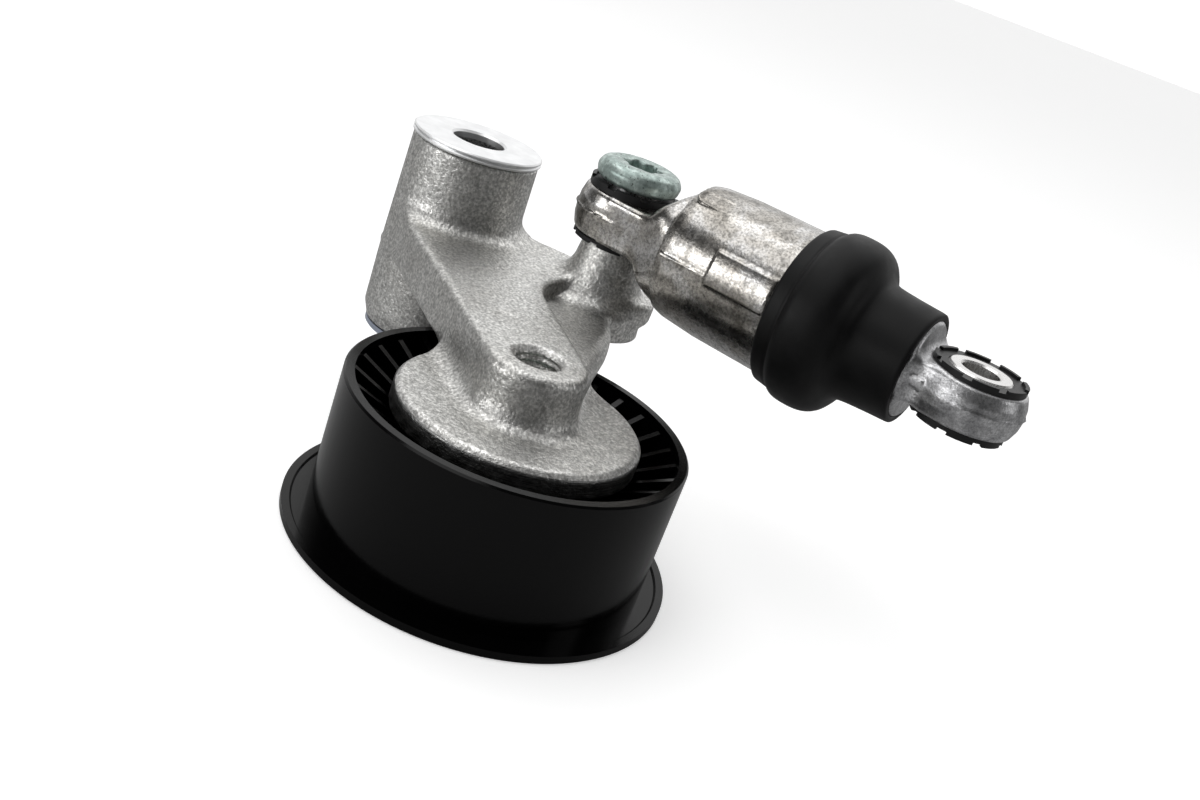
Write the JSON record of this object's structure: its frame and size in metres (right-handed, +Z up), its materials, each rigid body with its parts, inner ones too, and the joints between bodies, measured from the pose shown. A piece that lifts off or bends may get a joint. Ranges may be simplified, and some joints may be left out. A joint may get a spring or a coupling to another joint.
{
  "type": "belt tensioner idler",
  "caption": "Cast swing arm with a flanged idler pulley on a ball bearing and a sprung, oil damped strut that bolts to the engine.",
  "frame": {"origin": "centre of the pivot bore at its lower, engine side face", "axes": "+Z up the pivot axis away from the engine, +X from the pivot axis to the pulley axis"},
  "size_m": [0.1327, 0.1353, 0.0786],
  "materials": {
    "cast_aluminium": "matte, sandblasted",
    "zinc_steel": "bright zinc plated",
    "bare_steel": "ground",
    "bearing_steel": "polished",
    "zinc_flake": "satin grey green zinc flake",
    "pulley_plastic": "satin black, glass filled",
    "black_plastic": "matte",
    "black_rubber": "matte",
    "bush_polymer": "matte",
    "spring_steel": "dark oiled"
  },
  "bodies": {
    "pivot": {"pivot_sleeve": "bare_steel", "pivot_disc_upper": "zinc_steel", "pivot_disc_lower": "zinc_steel"},
    "arm": {"arm_casting": "cast_aluminium", "pivot_bush_upper": "bush_polymer", "pivot_bush_lower": "bush_polymer", "pivot_seal_upper": "black_rubber", "pivot_seal_lower": "black_rubber", "pulley_bolt": "zinc_flake", "bearing_spacer": "bare_steel", "bearing_inner_ring": "bearing_steel", "damper_bolt": "zinc_flake", "upper_eye_sleeve": "bare_steel"},
    "pulley": {"pulley_wheel": "pulley_plastic", "bearing_outer_ring": "bearing_steel", "bearing_seal_upper": "black_rubber", "bearing_seal_lower": "black_rubber", "dust_cap": "black_plastic"},
    "ball_set": {"bearing_balls": "bearing_steel", "bearing_cage": "black_plastic"},
    "damper": {"damper_housing": "cast_aluminium", "upper_eye_collar_top": "black_plastic", "upper_eye_collar_bottom": "black_plastic", "pressure_cylinder": "bare_steel", "check_valve_seat": "bare_steel", "check_valve_cage": "bare_steel", "check_valve_spring": "spring_steel", "return_spring": "spring_steel", "boot": "black_rubber", "boot_clamp_ring": "spring_steel"},
    "check_ball": {"check_valve_ball": "bearing_steel"},
    "rod": {"rod_end": "cast_aluminium", "piston": "bare_steel", "piston_seal": "black_rubber", "lower_eye_collar_top": "black_plastic", "lower_eye_collar_bottom": "black_plastic"},
    "lower_eye": {"lower_eye_sleeve": "bare_steel"}
  },
  "joints": [
    {"name": "arm_pivot", "type": "hinge", "parent": "pivot", "child": "arm", "pos_m": [0, 0, 0.025], "axis": [0, 0, 1], "range_deg": [-15, 15]},
    {"name": "pulley_spin", "type": "hinge", "parent": "arm", "child": "pulley", "pos_m": [0.0771, 0, 0.0054], "axis": [0, 0, 1], "continuous": true},
    {"name": "cage_spin", "type": "hinge", "parent": "arm", "child": "ball_set", "pos_m": [0.0771, 0, 0.0054], "axis": [0, 0, 1], "continuous": true},
    {"name": "damper_swing", "type": "hinge", "parent": "arm", "child": "damper", "pos_m": [0.0261, 0.0302, 0.0483], "axis": [0, 0, 1], "range_deg": [-30, 100]},
    {"name": "rod_slide", "type": "slide", "parent": "damper", "child": "rod", "axis": [0.7944, 0.6074, 0], "range_m": [-0.009, 0], "stiffness_N_per_m": 8000, "springref_m": 0.012, "deforming": ["return_spring", "boot"]},
    {"name": "check_ball_lift", "type": "slide", "parent": "damper", "child": "check_ball", "axis": [0.7944, 0.6074, 0], "range_m": [0, 0.0005], "stiffness_N_per_m": 100, "springref_m": -0.001, "deforming": ["check_valve_spring"]},
    {"name": "lower_eye_turn", "type": "hinge", "parent": "rod", "child": "lower_eye", "pos_m": [0.09577, 0.08347, 0.0483], "axis": [0, 0, 1], "continuous": true}
  ],
  "couplings": [
    {"joint": "cage_spin", "follows": "pulley_spin", "ratio": 0.61638}
  ]
}
